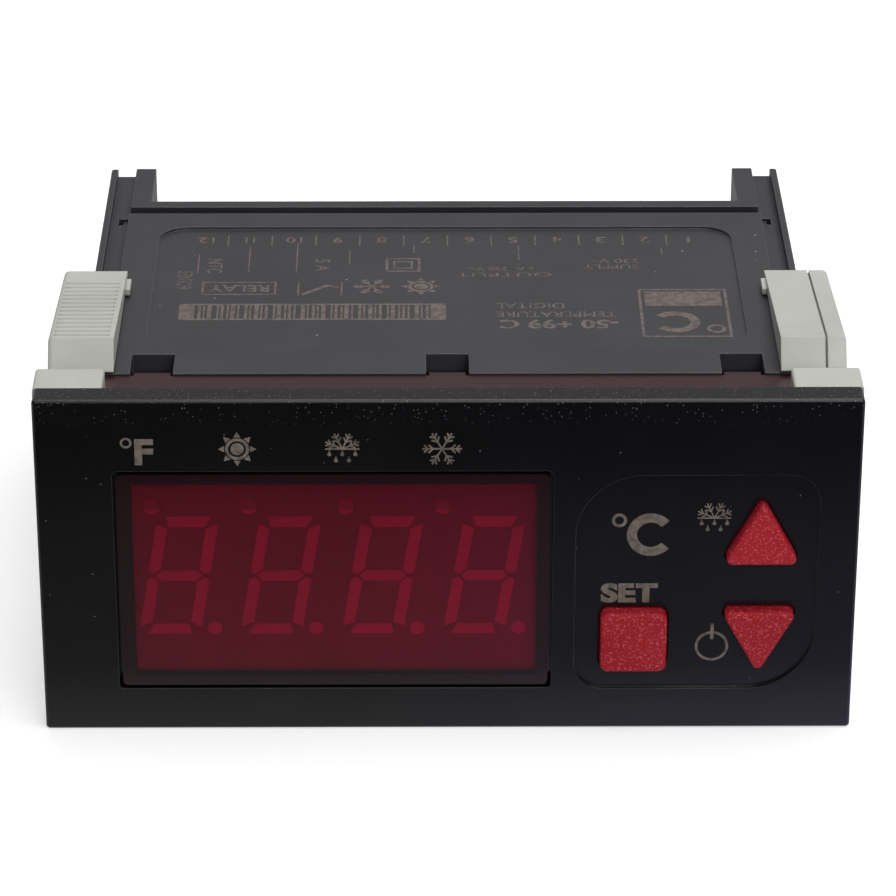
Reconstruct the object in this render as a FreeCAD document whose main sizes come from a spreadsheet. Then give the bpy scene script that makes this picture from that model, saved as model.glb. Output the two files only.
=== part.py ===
import FreeCAD, Part
import Sketcher
from FreeCAD import Vector
import os
import re

# Digital temperature controller for panel mounting. Millimetres.
# X runs to the right, Y into the panel and Z up. The origin is the centre of the bezel's back
# face, which is the plane that seats on the panel.

doc = FreeCAD.newDocument("temperature_controller")
sheet = doc.addObject("Spreadsheet::Sheet", "Sizes")

sizes = {
    # case
    "body_width": 70.3, "body_height": 28.6, "side_wall": 1.8, "roof_wall": 2.0,
    "body_front": 9.7, "roof_back": 47.8, "slot_width": 1.6, "terminal_bay": 8.9,
    "channel_depth": 1.0, "channel_inset": 2.55, "flange_width": 0.7,
    "notch_size": 4.1, "notch_spread": 28.2, "notch_length": 4.3,
    "label_width": 58.3, "label_front": 16.05, "label_margin": 3.5, "label_depth": 0.3,
    "label_corner": 3.0, "hook_hole_length": 1.6, "hook_hole_width": 0.95, "hook_hole_margin": 1.6,
    "case_edge": 0.25, "flange_end": 0.5, "cheek_edge": 0.3,
    # ratchet on the case's sides
    "rack_depth": 0.7, "rack_half": 3.2, "tooth_pitch": 1.5, "tooth_count": 22, "rack_front": 20.0,
    # front frame
    "face_lip_side": 3.35, "face_lip_top": 3.2, "face_thick": 2.7, "face_bevel": 0.2,
    "face_corner": 0.4, "tray_depth": 1.3, "tray_rim": 2.3,
    # display window and keypad in the front frame
    "window_width": 41.1, "window_height": 23.2, "window_margin": 7.2, "window_z": -1.45,
    "window_corner": 0.5, "window_gap": 0.35, "lens_step": 0.05,
    "keypad_width": 22.8, "keypad_height": 22.8, "keypad_margin": 3.75, "keypad_z": -1.75,
    "keypad_depth": 0.35, "keypad_leaf": 6.5, "keypad_tip": 2.8,
    # keys
    "set_size": 6.3, "set_left": 5.8, "set_below": 6.0, "set_corner": 0.8,
    "arrow_width": 7.3, "arrow_height": 6.7, "arrow_right": 6.05, "arrow_below": 0.2,
    "arrow_gap": 5.05, "arrow_corner": 0.55, "button_proud": 1.3, "button_edge": 0.35,
    "button_clear": 0.2, "button_flange": 0.8, "flange_thick": 0.7, "button_travel": 0.5,
    "stem_radius": 1.5,
    # red window moulding
    "collar_inset": 0.15, "collar_wall": 1.6, "spigot_step": 1.5, "tray_clear": 0.2,
    "spigot_clear": 0.12, "spigot_wall": 1.3, "spigot_length": 5.0, "post_size": 2.6,
    "latch_clear": 0.3,
    # rear cover
    "cover_thick": 1.5, "cover_clear": 0.1, "cheek_thick": 2.05, "rim_wall": 1.2,
    "rim_length": 2.6, "shelf_thick": 1.2, "shelf_drop": 2.2, "ledge_width": 1.6,
    # side clips
    "clip_web": 2.9, "clip_reach": 3.4, "clip_arm": 3.0, "clip_tail": 0.75, "clip_back": 31.7,
    "clip_edge": 0.5, "ramp_top": 11.4, "ramp_low": 9.3, "foot_thick": 4.2, "foot_arm": 3.15,
    "foot_reach": 3.0, "foot_web": 3.5, "foot_edge": 0.35, "clip_clear": 0.25, "seat_gap": 0.1,
    "lip_clear": 0.25, "lip_front": 11.8, "rib_pitch": 1.2, "rib_start": 0.5, "rib_depth": 0.22,
    "rib_margin": 0.5, "slit_width": 0.2, "slit_depth": 0.3, "slit_inset": 1.95, "tongue_half": 3.0,
    "tongue_slot": 0.6, "tongue_front": 8.0, "tongue_back": 24.0, "tongue_relief": 0.8,
    "tooth_clear": 0.12, "nib_back": 2.1, "nib_length": 2.6, "nib_reach": 0.5, "nib_height": 0.6,
    # display
    "module_width": 38.4, "module_height": 20.4, "module_drop": 0.5, "module_shift": 0.1,
    "module_front": -1.0, "module_wall": 1.0, "module_clear": 0.3, "mask_thick": 2.2,
    "diffuser_thick": 2.0, "digit_left": 14.75, "digit_raise": 0.5, "digit_pitch": 9.6,
    "digit_half_width": 2.95, "digit_half_height": 6.3, "digit_slant": 0.165, "segment": 1.15,
    "segment_gap": 0.13, "segment_chamfer": 0.65, "point_radius": 0.75, "point_offset": 1.25,
    "dot_left": 17.15, "dot_raise": 7.8, "dot_pitch": 9.1, "dot_radius": 0.85,
    # boards
    "board_thick": 1.6, "display_board_y": 6.2, "board_clear": 0.2, "board_lift": 3.7,
    "main_board_front": 8.6, "guide_depth": 1.65, "tail_clear": 0.45, "tail_step": 0.5,
    "guide_front": 15.2, "guide_rib": 1.0, "guide_clear": 0.12,
    # tactile switches
    "switch_size": 6.0, "switch_thick": 3.5, "plunger_radius": 1.7, "plunger_reach": 0.9,
    "plunger_clear": 0.15,
    # terminals
    "pole_count": 12, "pole_pitch": 5.0, "block_height": 13.4, "block_gap": 0.3,
    "block_depth": 8.1, "cell_width": 4.3, "cell_height": 7.4, "cell_wall": 1.4,
    "well_radius": 2.0, "entry_width": 3.6, "entry_height": 3.8, "entry_sill": 1.2,
    "screw_head_radius": 1.75, "screw_head": 1.7, "screw_sunk": 1.7, "screw_radius": 1.2,
    "screw_slot": 0.6, "cage_clear": 0.1, "cage_wall": 0.7, "pin_size": 0.9, "pin_clear": 0.15,
    # parts on the boards
    "core_width": 26.0, "core_depth": 13.0, "core_height": 17.0, "coil_width": 16.2,
    "coil_depth": 20.0, "coil_round": 2.5, "limb_width": 6.1, "transformer_left": 15.0, "power_row": 11.8,
    "relay_width": 15.4, "relay_depth": 19.2, "relay_height": 15.3, "relay_right": 20.0,
    "large_can_radius": 5.0, "large_can_height": 15.5, "small_can_radius": 3.15,
    "small_can_height": 11.0, "buzzer_radius": 6.0, "buzzer_height": 9.5,
    "varistor_radius": 4.8, "varistor_thick": 3.6, "diode_radius": 1.35, "diode_length": 5.2,
    "diode_pitch": 3.3, "lead_radius": 0.4, "tab_width": 10.0, "tab_thick": 1.2,
    "chip_size": 10.0, "chip_pitch": 0.8, "header_pitch": 2.54, "header_pins": 12,
    # where the smaller parts stand
    "front_row": 20.0, "large_can_left": 25.5, "small_can_right": 2.0, "buzzer_right": 24.5,
    "regulator_right": 12.0, "diode_right": 0.4, "diode_row": 25.0, "varistor_left": 1.5,
    "varistor_row": 4.8, "chip_left": 12.0, "chip_raise": 1.0,
}

for row, (alias, value) in enumerate(sizes.items(), start=1):
    sheet.set("A%d" % row, alias)
    sheet.set("B%d" % row, str(value))
    sheet.setAlias("B%d" % row, alias)
doc.recompute()

parts = {}
growsAlong = {"XY_Plane": 1, "YZ_Plane": 1, "XZ_Plane": -1}
normalOf = {"YZ_Plane": 0, "XZ_Plane": 1, "XY_Plane": 2}


def formula(text):
    """Put the sheet's name before each alias in a plain formula."""
    return re.sub(r"[a-z_]+", lambda m: "Sizes." + m[0] if m[0] in sizes else m[0], str(text))


def newBody(label):
    body = doc.addObject("PartDesign::Body", label)
    body.Label = label
    body.AllowCompound = True
    parts[label] = body
    return body


def planeOf(body, role):
    return next(item for item in body.Origin.OriginFeatures if item.Role == role)


def newSketch(body, role, offset):
    """A sketch on one of the body's own planes, moved along that plane's axis to offset."""
    sketch = body.newObject("Sketcher::SketchObject", body.Label + "_sketch")
    sketch.AttachmentSupport = [(planeOf(body, role), "")]
    sketch.MapMode = "FlatFace"
    sign = "" if growsAlong[role] > 0 else "-"
    sketch.setExpression("AttachmentOffset.Base.z", formula("%s(%s)" % (sign, offset)))
    return sketch


def bind(sketch, kind, geometry, point, text, start):
    """One dimension from the sketch's origin, driven by a formula of the sheet."""
    if kind == "Radius":
        index = sketch.addConstraint(Sketcher.Constraint(kind, geometry, start))
    else:
        index = sketch.addConstraint(Sketcher.Constraint(kind, -1, 1, geometry, point, start))
    sketch.setExpression("Constraints[%d]" % index, formula(text))


def addOutline(sketch, corners):
    """A closed outline of straight lines through corners given as pairs of formulas."""
    count = len(corners)
    first = sketch.GeometryCount
    ring = [Vector(9, 0, 0)]
    spin = FreeCAD.Rotation(Vector(0, 0, 1), 360.0 / count)
    while len(ring) < count:
        ring.append(spin.multVec(ring[-1]))
    for index, start in enumerate(ring):
        sketch.addGeometry(Part.LineSegment(start, ring[(index + 1) % count]), False)
    for index, (across, up) in enumerate(corners):
        line = first + index
        following = first + (index + 1) % count
        sketch.addConstraint(Sketcher.Constraint("Coincident", line, 2, following, 1))
        bind(sketch, "DistanceX", line, 1, across, ring[index].x)
        bind(sketch, "DistanceY", line, 1, up, ring[index].y)


def addCircle(sketch, across, up, radius):
    circle = sketch.addGeometry(Part.Circle(Vector(0, 0, 0), Vector(0, 0, 1), 1.0), False)
    bind(sketch, "DistanceX", circle, 3, across, 0.0)
    bind(sketch, "DistanceY", circle, 3, up, 0.0)
    bind(sketch, "Radius", circle, 0, radius, 1.0)


def extrude(body, sketch, length, cut=False):
    """Grow or cut from the sketch towards the positive end of its axis."""
    kind = "PartDesign::Pocket" if cut else "PartDesign::Pad"
    feature = body.newObject(kind, body.Label + ("_cut" if cut else "_pad"))
    feature.Profile = sketch
    feature.setExpression("Length", formula(length))
    along = growsAlong[sketch.AttachmentSupport[0][0].Role] > 0
    feature.Reversed = along if cut else not along
    body.Tip = feature
    return feature


def box(body, x, y, z, cut=False, upright=False):
    """A rectangular block or cut between pairs of formulas for its low and high faces."""
    role, rise, up = ("XY_Plane", z, y) if upright else ("XZ_Plane", y, z)
    corners = [(x[0], up[0]), (x[1], up[0]), (x[1], up[1]), (x[0], up[1])]
    return prism(body, role, rise[0], "(%s) - (%s)" % (rise[1], rise[0]), corners, cut)


def prism(body, role, start, length, corners, cut=False):
    sketch = newSketch(body, role, start)
    addOutline(sketch, corners)
    return extrude(body, sketch, length, cut)


def rod(body, role, start, length, across, up, radius, cut=False):
    sketch = newSketch(body, role, start)
    addCircle(sketch, across, up, radius)
    return extrude(body, sketch, length, cut)


def repeat(body, features, axis, spacing, count):
    pattern = body.newObject("PartDesign::LinearPattern", body.Label + "_row")
    pattern.Originals = features
    pattern.Direction = (planeOf(body, axis), [""])
    pattern.setExpression("Length", formula("(%s) * (%s - 1)" % (spacing, count)))
    pattern.setExpression("Occurrences", formula(count))
    body.Tip = pattern
    return pattern


def edgesWhere(feature, test):
    """Names of the straight or curved edges whose end points pass the test."""
    doc.recompute()
    names = []
    for number, edge in enumerate(feature.Shape.Edges, start=1):
        ends = [vertex.Point for vertex in edge.Vertexes]
        if test(edge, ends):
            names.append("Edge%d" % number)
    return names


def along(axis):
    """Edges that run along one axis: 0 is X, 1 is Y and 2 is Z."""
    others = [index for index in range(3) if index != axis]

    def test(edge, ends):
        return len(ends) == 2 and all(abs(ends[0][i] - ends[1][i]) < 1e-4 for i in others)
    return test


def soften(body, feature, test, size, bevel=False):
    kind = "PartDesign::Chamfer" if bevel else "PartDesign::Fillet"
    dressing = body.newObject(kind, body.Label + ("_bevel" if bevel else "_round"))
    dressing.Base = (feature, edgesWhere(feature, test))
    dressing.setExpression("Size" if bevel else "Radius", formula(size))
    body.Tip = dressing
    return dressing


# shared faces and places, as formulas
side = "(body_width / 2)"
top = "(body_height / 2)"
faceSide = "(body_width / 2 + face_lip_side)"
faceTop = "(body_height / 2 + face_lip_top)"
cavitySide = "(body_width / 2 - side_wall)"
cavityTop = "(body_height / 2 - roof_wall)"
channelInner = "(body_width / 2 - channel_inset)"
channelFloor = "(body_height / 2 - channel_depth)"
coverFront = "(roof_back + slot_width)"
coverBack = "(roof_back + slot_width + cover_thick)"
coverSide = "(body_width / 2 - channel_inset - cover_clear)"
cheekInner = "(body_width / 2 - channel_inset - cover_clear - cheek_thick)"
bodyBack = "(roof_back + slot_width + cover_thick + terminal_bay)"
hookY = "(roof_back + slot_width - hook_hole_margin)"
windowX = "(window_margin + window_width / 2 - body_width / 2 - face_lip_side)"
keypadX = "(body_width / 2 + face_lip_side - keypad_margin - keypad_width / 2)"
moduleX = "(window_margin + window_width / 2 - body_width / 2 - face_lip_side + module_shift)"
moduleZ = "(window_z - module_drop)"
setX = "(body_width / 2 + face_lip_side - keypad_margin - keypad_width / 2 - set_left)"
setZ = "(keypad_z - set_below)"
arrowX = "(body_width / 2 + face_lip_side - keypad_margin - keypad_width / 2 + arrow_right)"
arrowZ = "(keypad_z - arrow_below)"
trayFace = "(lens_step - tray_depth)"
switchFront = "(display_board_y - switch_thick)"
displayBoardBack = "(display_board_y + board_thick)"
boardBottom = "(board_lift - body_height / 2 + roof_wall)"
boardTop = "(board_lift - body_height / 2 + roof_wall + board_thick)"
tailHalf = "(body_width / 2 - channel_inset - cover_clear - cheek_thick - tail_clear)"
blockFront = "(roof_back + slot_width + cover_thick + block_gap)"
blockBack = "(roof_back + slot_width + cover_thick + block_gap + block_depth)"
blockTop = "(board_lift - body_height / 2 + roof_wall + board_thick + block_height)"
blockHalf = "(pole_count * pole_pitch / 2)"
firstPole = "(pole_pitch / 2 - pole_count * pole_pitch / 2)"
pinRow = "(roof_back + slot_width + cover_thick + block_gap + block_depth / 2)"


def span(centre, width):
    """The two faces of something that is centred."""
    return ("(%s) - (%s) / 2" % (centre, width), "(%s) + (%s) / 2" % (centre, width))


def minus(text):
    return "-(%s)" % text


def both(text):
    return (minus(text), text)


def allRound(quarter):
    """The outline of a section from its right upper quarter, listed from inside to outside."""
    right = quarter + [(x, minus(z)) for x, z in reversed(quarter)]
    left = [(minus(x), minus(z)) for x, z in quarter] + [(minus(x), z) for x, z in reversed(quarter)]
    return right + left


def between(values, low, high):
    return all(low - 1e-4 <= value <= high + 1e-4 for value in values)


def ownCorners(feature):
    """Edges that rise from the corners of the feature's own sketch."""
    doc.recompute()
    sketch = feature.Profile[0]
    axis = normalOf[sketch.AttachmentSupport[0][0].Role]
    flat = [index for index in range(3) if index != axis]
    corners = [vertex.Point for vertex in sketch.Shape.Vertexes]

    def test(edge, ends):
        return along(axis)(edge, ends) and any(
            all(abs(corner[i] - ends[0][i]) < 1e-3 for i in flat) for corner in corners)
    return test


def makeHousing():
    """Black case: a tube with a clip channel along each long edge and a ratchet on each side."""
    body = newBody("housing")
    flange = side + " - flange_width"
    section = [(channelInner, top), (channelInner, channelFloor), (flange, channelFloor),
               (flange, top), (side, top)]
    tube = prism(body, "XZ_Plane", "body_front", bodyBack + " - body_front", allRound(section))
    crest = sheet.body_height / 2

    def flangeEnd(edge, ends):
        return along(0)(edge, ends) and abs(abs(ends[0].z) - crest) < 1e-4 and \
            min(abs(end.x) for end in ends) > sheet.body_width / 2 - sheet.channel_inset + 0.1 and \
            ends[0].y > tube.Shape.CenterOfMass.y
    tube = soften(body, tube, flangeEnd, "flange_end")
    corner = sheet.body_width / 2
    soften(body, tube, lambda edge, ends: along(1)(edge, ends) and abs(abs(ends[0].x) - corner) < 1e-4,
           "case_edge")
    box(body, both(cavitySide), ("body_front", bodyBack), both(cavityTop), cut=True)
    box(body, both(channelInner), ("roof_back", bodyBack), both(top), cut=True)
    for place in ("-notch_spread", "0", "notch_spread"):
        notch = ("body_front", "body_front + notch_length")
        box(body, span(place, "notch_size"), notch, both(top), cut=True)
    for hand in ("", "-"):
        hole = ("%s(%s + 0.15)" % (hand, channelInner),
                "%s(%s + 0.15 + hook_hole_width)" % (hand, channelInner))
        for way in ("", "-"):
            up = ("%s%s" % (way, cavityTop), "%s%s" % (way, top))
            box(body, hole, span(hookY, "hook_hole_length"), up, cut=True)
    for hand in ("", "-"):
        face = hand + side
        root = "%s(%s - rack_depth)" % (hand, side)
        gullet = [(face, "rack_front"), (root, "rack_front"), (face, "rack_front + 0.85 * tooth_pitch")]
        tooth = prism(body, "XY_Plane", "-rack_half", "2 * rack_half", gullet, cut=True)
        repeat(body, [tooth], "Y_Axis", "tooth_pitch", "tooth_count")
    guides = ("guide_front", coverFront + " - rim_length - 0.2")
    upperRib = (boardTop + " + guide_clear", boardTop + " + guide_clear + guide_rib")
    lowerRib = (boardBottom + " - guide_clear - guide_rib", boardBottom + " - guide_clear")
    for hand in ("", "-"):
        reach = ("%s(%s - guide_depth - 0.5)" % (hand, cavitySide), hand + cavitySide)
        box(body, reach, guides, upperRib)
        box(body, reach, guides, lowerRib)
    recess = box(body, both("label_width / 2"), ("label_front", "roof_back - label_margin"),
                 (top + " - label_depth", top), cut=True, upright=True)
    soften(body, recess, ownCorners(recess), "label_corner")


def makeRearCover():
    """Rear frame with the terminal window, two cheeks and the shelf under the board's tail."""
    body = newBody("rear_cover")
    bay = (coverBack, bodyBack)
    box(body, both(coverSide), (coverFront, coverBack), both(top))
    rimFront = coverFront + " - rim_length"
    rimSide = cavitySide + " - cover_clear"
    rimTop = cavityTop + " - cover_clear"
    box(body, both(rimSide), (rimFront, coverFront), both(rimTop))
    box(body, both(rimSide + " - rim_wall"), (rimFront, coverFront), both(rimTop + " - rim_wall"), cut=True)
    box(body, both(tailHalf + " + board_clear"), (rimFront, coverBack),
        (boardBottom + " - board_clear", blockTop + " + board_clear"), cut=True)
    shelfTop = boardBottom + " - shelf_drop"
    rear = sheet.roof_back + sheet.slot_width + sheet.cover_thick + sheet.terminal_bay
    crest = sheet.body_height / 2

    def cheekEnd(edge, ends):
        return along(0)(edge, ends) and abs(ends[0].y - rear) < 1e-4 and abs(abs(ends[0].z) - crest) < 1e-4
    for hand in ("", "-"):
        cheek = box(body, (hand + cheekInner, hand + coverSide), bay, both(top))
        soften(body, cheek, cheekEnd, "cheek_edge")
        ledge = ("%s(%s - ledge_width)" % (hand, cheekInner), hand + cheekInner)
        box(body, ledge, bay, (shelfTop, boardBottom))
        nib = ("%s(%s + 0.25)" % (hand, channelInner), "%s(%s)" % (hand, rimSide))
        for way in ("", "-"):
            box(body, nib, span(hookY, "hook_hole_length - 0.4"),
                ("%s(%s)" % (way, rimTop), "%s(%s - 0.25)" % (way, channelFloor)))
    box(body, both(cheekInner), bay, (shelfTop + " - shelf_thick", shelfTop))


def arrowCorners(pointsUp, grow):
    """An isosceles triangle on its base, with every side moved outwards by grow."""
    half = "arrow_width / 2"
    slant = "sqrt((%s) ^ 2 + arrow_height ^ 2)" % half
    wide = "%s + %s * (%s + %s) / arrow_height" % (half, grow, slant, half)
    tip = "arrow_height + %s * %s / (%s)" % (grow, slant, half)
    way = "" if pointsUp else "-"
    base = "%s + %s(arrow_gap / 2 - (%s))" % (arrowZ, way, grow)
    apex = "%s + %s(arrow_gap / 2 + %s)" % (arrowZ, way, tip)
    return [("%s - (%s)" % (arrowX, wide), base), ("%s + (%s)" % (arrowX, wide), base), (arrowX, apex)]


def setCorners(grow):
    left, right = span(setX, "set_size + 2 * (%s)" % grow)
    low, high = span(setZ, "set_size + 2 * (%s)" % grow)
    return [(left, low), (right, low), (right, high), (left, high)]


def makeFrontBezel():
    """Black front frame, open for the window and the keys, with a leaf-shaped keypad recess."""
    body = newBody("front_bezel")
    plate = box(body, both(faceSide), ("-face_thick", "0"), both(faceTop))
    plate = soften(body, plate, ownCorners(plate), "face_corner")
    front = -sheet.face_thick
    soften(body, plate, lambda edge, ends: between([end.y for end in ends], front, front),
           "face_bevel", bevel=True)
    box(body, both(faceSide + " - tray_rim"), ("-tray_depth", "0"), both(faceTop + " - tray_rim"), cut=True)
    window = box(body, span(windowX, "window_width"), ("-face_thick", "-tray_depth"),
                 span("window_z", "window_height"), cut=True)
    soften(body, window, ownCorners(window), "window_corner")
    keypad = box(body, span(keypadX, "keypad_width"), ("-face_thick", "keypad_depth - face_thick"),
                 span("keypad_z", "keypad_height"), cut=True)
    corners = ownCorners(keypad)
    middle = keypad.Profile[0].Shape.BoundBox.Center

    def leafEdge(leaf):
        def test(edge, ends):
            offset = ends[0] - middle
            return corners(edge, ends) and (offset.x * offset.z < 0) == leaf
        return test
    keypad = soften(body, keypad, leafEdge(True), "keypad_leaf")
    soften(body, keypad, leafEdge(False), "keypad_tip")
    depth = "face_thick - keypad_depth - tray_depth"
    for outline, radius in ((setCorners("button_clear"), "set_corner"),
                            (arrowCorners(True, "button_clear"), "arrow_corner"),
                            (arrowCorners(False, "button_clear"), "arrow_corner")):
        hole = prism(body, "XZ_Plane", "keypad_depth - face_thick", depth, outline, cut=True)
        soften(body, hole, ownCorners(hole), radius + " + button_clear")


def makeWindowMoulding():
    """Red see-through moulding: the lens, its tray behind the bezel, the collar and the latches."""
    body = newBody("window_moulding")
    tray = (faceSide + " - tray_rim - tray_clear", faceTop + " - tray_rim - tray_clear")
    box(body, both(tray[0]), (trayFace, "0"), both(tray[1]))
    lens = box(body, span(windowX, "window_width - 2 * window_gap"), ("lens_step - face_thick", trayFace),
               span("window_z", "window_height - 2 * window_gap"))
    soften(body, lens, ownCorners(lens), "window_corner")
    box(body, span(moduleX, "module_width + 2 * module_clear"), (trayFace, "0"),
        span(moduleZ, "module_height + 2 * module_clear"), cut=True)
    box(body, span(keypadX, "keypad_width - 0.6"), (trayFace, "0"),
        span("keypad_z", "keypad_height - 0.6"), cut=True)
    collarSide = side + " - collar_inset"
    collarTop = top + " - collar_inset - 0.05"
    collarBack = "body_front - seat_gap"
    innerSide = collarSide + " - collar_wall"
    innerTop = collarTop + " - collar_wall"
    box(body, both(collarSide), ("0", collarBack), both(collarTop))
    spigotSide = cavitySide + " - spigot_clear"
    spigotTop = cavityTop + " - spigot_clear"
    spigotBack = "body_front + spigot_length"
    box(body, both(spigotSide), (collarBack, spigotBack), both(spigotTop))
    step = "body_front - spigot_step"
    box(body, both(innerSide), ("0", step), both(innerTop), cut=True)
    bore = (spigotSide + " - spigot_wall", spigotTop + " - spigot_wall")
    box(body, both(bore[0]), (step, spigotBack), both(bore[1]), cut=True)
    for hand in ("", "-"):
        for way in ("", "-"):
            across = ("%s(%s - post_size)" % (hand, innerSide), "%s(%s)" % (hand, innerSide))
            up = ("%s(%s - post_size)" % (way, innerTop), "%s(%s)" % (way, innerTop))
            box(body, across, ("0", "display_board_y"), up)
    notchBack = "body_front + notch_length - latch_clear"
    for place in ("-notch_spread", "0", "notch_spread"):
        for way in ("", "-"):
            root = "%s(%s)" % (way, spigotTop)
            crest = "%s(%s - 0.7)" % (way, top)
            ramp = [("body_front + latch_clear", root), (notchBack, root),
                    (notchBack, "%s(%s + 0.3)" % (way, spigotTop)), ("body_front + 1.6", crest),
                    ("body_front + latch_clear", crest)]
            prism(body, "YZ_Plane", "%s - notch_size / 2 + latch_clear" % place,
                  "notch_size - 2 * latch_clear", ramp)


def makeKey(label, corners, radius, x, z):
    """A red key: its head, the flange that keeps it in and the stem that reaches the switch."""
    body = newBody(label)
    front = "keypad_depth - face_thick - button_proud"
    head = prism(body, "XZ_Plane", front, "%s - (%s)" % (trayFace, front), corners("0"))
    rounded = soften(body, head, ownCorners(head), radius)
    y = sheet.keypad_depth - sheet.face_thick - sheet.button_proud
    soften(body, rounded, lambda edge, ends: between([end.y for end in ends], y, y), "button_edge")
    flange = prism(body, "XZ_Plane", trayFace, "flange_thick", corners("button_flange"))
    soften(body, flange, ownCorners(flange), radius + " + button_flange")
    stem = "%s - plunger_reach - 0.05 - %s" % (switchFront, trayFace)
    rod(body, "XZ_Plane", trayFace, stem, x, z, "stem_radius")


def makePlunger(label, x, z):
    body = newBody(label)
    rod(body, "XZ_Plane", switchFront + " - plunger_reach", "plunger_reach + 1.2", x, z, "plunger_radius")


def makeSwitches(places):
    """Three tactile switches on the display board, each with a round well for its plunger."""
    body = newBody("tact_switches")
    for x, z in places:
        box(body, span(x, "switch_size"), (switchFront, "display_board_y"), span(z, "switch_size"))
    for x, z in places:
        rod(body, "XZ_Plane", switchFront, "1.2 + button_travel + 0.3", x, z,
            "plunger_radius + plunger_clear", cut=True)


def clipTop(y, above="0"):
    """Height of the clip's top, which falls from the ramp to the rear, at one place along it."""
    fall = "(clip_arm - clip_tail) * ((%s) - ramp_top) / (clip_back - ramp_top)" % y
    return "(body_height / 2 + clip_arm - %s + (%s))" % (fall, above)


def makeClip(label):
    """Grey side clip: a C that hugs the case, with lips in its channels and a ratchet tongue."""
    body = newBody(label)
    outer = "(body_width / 2 + clip_web)"
    inner = "(body_width / 2 - clip_reach)"
    footInner = "(body_width / 2 - foot_reach)"
    sole = "(body_height / 2 + foot_arm)"
    hug = "(body_width / 2 + clip_clear)"
    arms = [("foot_thick - 0.5", top), ("ramp_low", top), ("ramp_top", clipTop("ramp_top")),
            ("clip_back", clipTop("clip_back"))]
    outline = arms + [(y, minus(z)) for y, z in reversed(arms)]
    wing = prism(body, "YZ_Plane", inner, "%s - %s" % (outer, inner), outline)
    edge = sheet.body_width / 2 + sheet.clip_web
    soften(body, wing, lambda line, ends: between([end.x for end in ends], edge, edge) and
           not along(2)(line, ends), "clip_edge")
    foot = box(body, (footInner, side + " + foot_web"), ("seat_gap", "foot_thick"), both(sole))
    soften(body, foot, ownCorners(foot), "foot_edge")
    box(body, (inner, hug), ("seat_gap", "clip_back"), both(top + " + clip_clear"), cut=True)
    under = top + " + clip_clear"
    nibPlace = ("clip_back - nib_back - nib_length", "clip_back - nib_back")
    for way in ("", "-"):
        lip = ("%s(%s + lip_clear)" % (way, channelFloor), "%s(%s)" % (way, under))
        box(body, (channelInner + " + lip_clear", side + " - flange_width - lip_clear"),
            ("lip_front", "clip_back"), lip)
        nib = ("%s(%s)" % (way, under), "%s(%s + nib_height)" % (way, under))
        box(body, (inner + " - nib_reach", inner), nibPlace, nib)
    grooves = newSketch(body, "YZ_Plane", inner + " + rib_margin")
    for number in range(14):
        start = "ramp_top + rib_start + %d * rib_pitch" % number
        flanks = (("0", "0.1"), ("0.2 * rib_pitch", "-rib_depth"), ("0.35 * rib_pitch", "-rib_depth"),
                  ("0.55 * rib_pitch", "0.1"))
        addOutline(grooves, [(start + " + " + y, minus(clipTop(start + " + " + y, rise)))
                             for y, rise in flanks])
    extrude(body, grooves, "%s - %s - 2 * rib_margin" % (outer, inner), cut=True)
    slit = [("ramp_low + 0.5", top), ("ramp_top + 0.25", clipTop("ramp_top", "-slit_depth")),
            ("clip_back", clipTop("clip_back", "-slit_depth")), ("clip_back", top + " + clip_arm + 1"),
            ("ramp_low - 0.5", top + " + clip_arm + 1"), ("ramp_low - 0.5", top)]
    prism(body, "YZ_Plane", outer + " - slit_inset - slit_width / 2", "slit_width", slit, cut=True)
    for way in ("", "-"):
        box(body, (hug, outer), ("tongue_front", "tongue_back"),
            ("%stongue_half" % way, "%s(tongue_half + tongue_slot)" % way), cut=True)
    box(body, (hug, outer), ("tongue_back - tongue_slot", "tongue_back"), both("tongue_half"), cut=True)
    relief = hug + " + tongue_relief"
    box(body, (hug, relief), ("tongue_front + 1", "tongue_back"), both("tongue_half"), cut=True)
    tip = side + " + tooth_clear"
    toothBack = "tongue_back - tongue_slot - 0.3"
    tooth = [(relief, toothBack + " - 1.3"), (tip, toothBack), (relief, toothBack)]
    prism(body, "XY_Plane", "-tongue_half", "2 * tongue_half", tooth)
    return body


def digitPoint(across, up):
    """A point of the first figure, leant to the right by the figure's slant."""
    return ("%s - digit_left + (%s) + (%s) * digit_slant" % (moduleX, across, up),
            "%s + digit_raise + (%s)" % (moduleZ, up))


def segmentOutlines():
    """The seven bars of one figure, each with mitred ends and a narrow gap to its neighbour."""
    wide, tall, bar = "digit_half_width", "digit_half_height", "segment"
    gap, cut = "segment_gap", "segment_chamfer"
    bars = []
    for way in ("", "-"):
        bars.append([("-(%s - %s - %s)" % (wide, cut, gap), "%s%s" % (way, tall)),
                     ("%s - %s - %s" % (wide, cut, gap), "%s%s" % (way, tall)),
                     ("%s - %s - %s" % (wide, bar, gap), "%s(%s - %s)" % (way, tall, bar)),
                     ("-(%s - %s - %s)" % (wide, bar, gap), "%s(%s - %s)" % (way, tall, bar))])
        for hand in ("", "-"):
            outer = "%s%s" % (hand, wide)
            inner = "%s(%s - %s)" % (hand, wide, bar)
            spine = "%s(%s - %s / 2)" % (hand, wide, bar)
            bars.append([(outer, "%s(%s - %s - %s)" % (way, tall, cut, gap)),
                         (inner, "%s(%s - %s - %s)" % (way, tall, bar, gap)),
                         (inner, "%s(%s / 2 + %s)" % (way, bar, gap)), (spine, "%s%s" % (way, gap)),
                         (outer, "%s(%s + 0.25)" % (way, gap))])
    tip = "%s - %s / 2 - %s" % (wide, bar, gap)
    shoulder = "%s - %s - %s" % (wide, bar, gap)
    bars.append([(tip, "0"), (shoulder, bar + " / 2"), (minus(shoulder), bar + " / 2"), (minus(tip), "0"),
                 (minus(shoulder), minus(bar + " / 2")), (shoulder, minus(bar + " / 2"))])
    return [[digitPoint(across, up) for across, up in bar] for bar in bars]


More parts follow.
